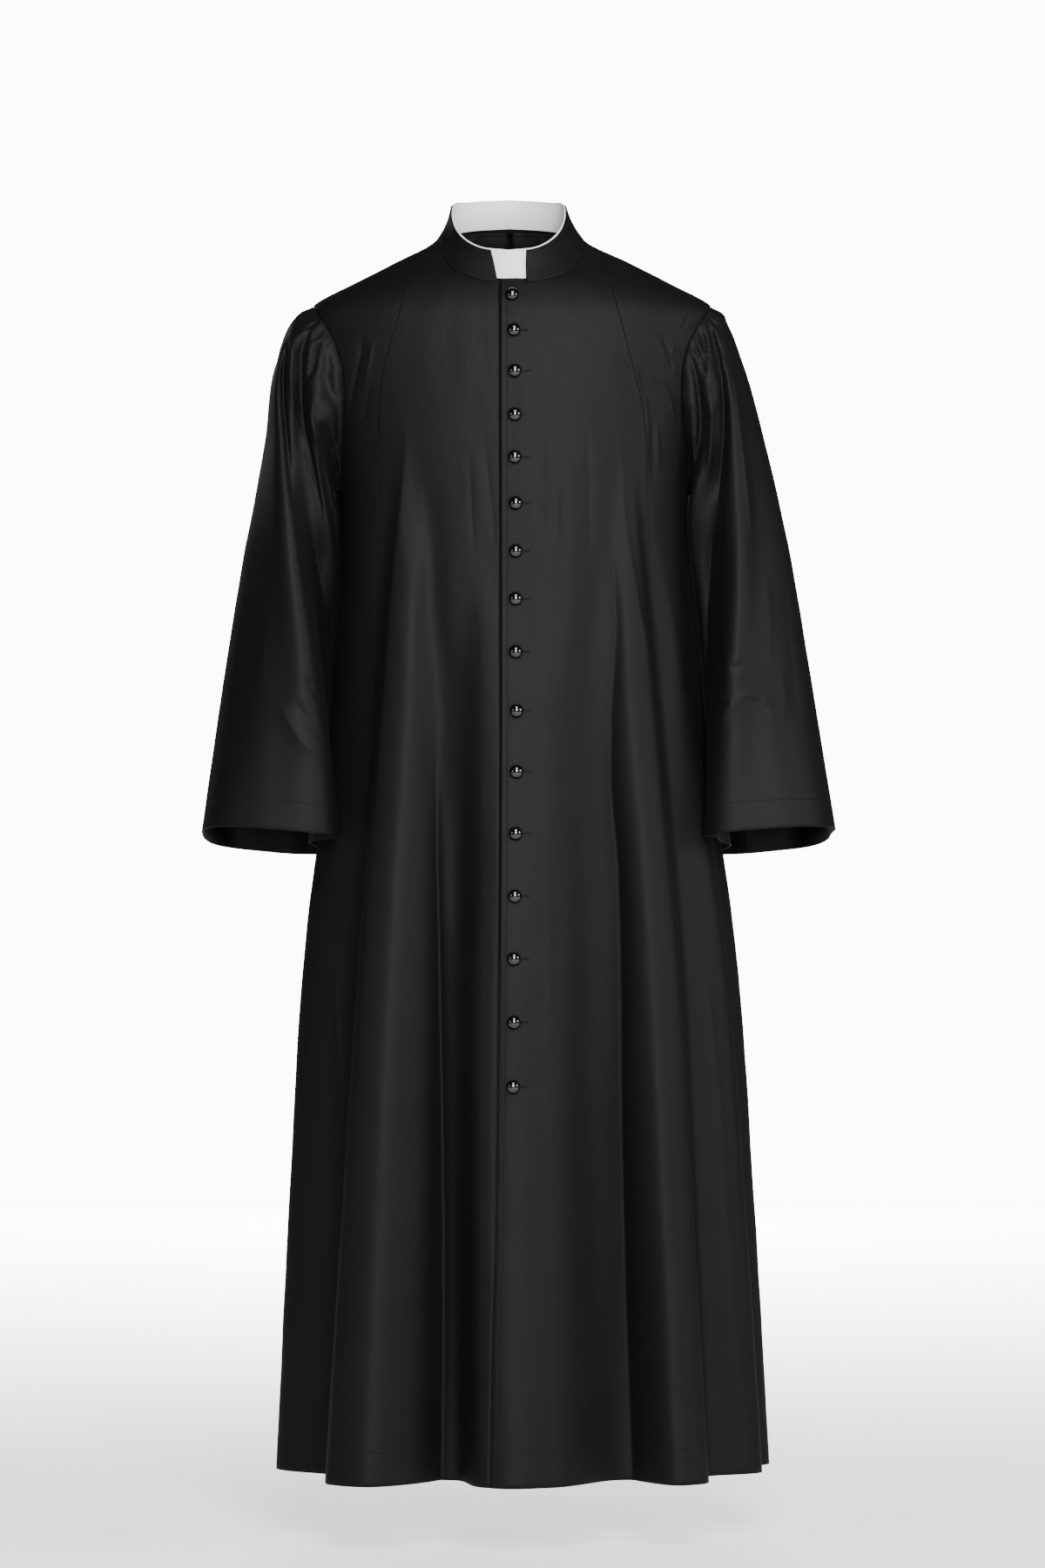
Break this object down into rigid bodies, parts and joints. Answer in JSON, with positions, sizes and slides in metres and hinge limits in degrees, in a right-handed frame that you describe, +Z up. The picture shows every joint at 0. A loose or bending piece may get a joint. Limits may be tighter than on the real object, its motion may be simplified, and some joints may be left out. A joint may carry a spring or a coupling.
{
  "type": "cassock",
  "caption": "Full-length black clerical robe with a stand collar and white band, buttoned down the front, wide sleeves gathered into the armholes and a fluted hem.",
  "frame": {"origin": "on the robe's axis, level with the neck ends of the shoulder seams, where the wearer's shoulders carry the robe", "axes": "+Z up; the wearer faces -Y, and the wearer's left is +X"},
  "size_m": [0.7607, 0.4533, 1.5278],
  "materials": {
    "black_cloth": "matt, smooth fine weave",
    "white_band": "smooth satin",
    "black_button": "glossy"
  },
  "bodies": {
    "root": {"front_left": "black_cloth", "front_right": "black_cloth", "side_front_left": "black_cloth", "side_front_right": "black_cloth", "back_left": "black_cloth", "back_right": "black_cloth", "sleeve_left": "black_cloth", "sleeve_right": "black_cloth", "collar": "black_cloth", "collar_insert": "white_band", "button_01": "black_button", "button_02": "black_button", "button_03": "black_button", "button_04": "black_button", "button_05": "black_button", "button_06": "black_button", "button_07": "black_button", "button_08": "black_button", "button_09": "black_button", "button_10": "black_button", "button_11": "black_button", "button_12": "black_button", "button_13": "black_button", "button_14": "black_button", "button_15": "black_button", "button_16": "black_button"}
  },
  "joints": []
}
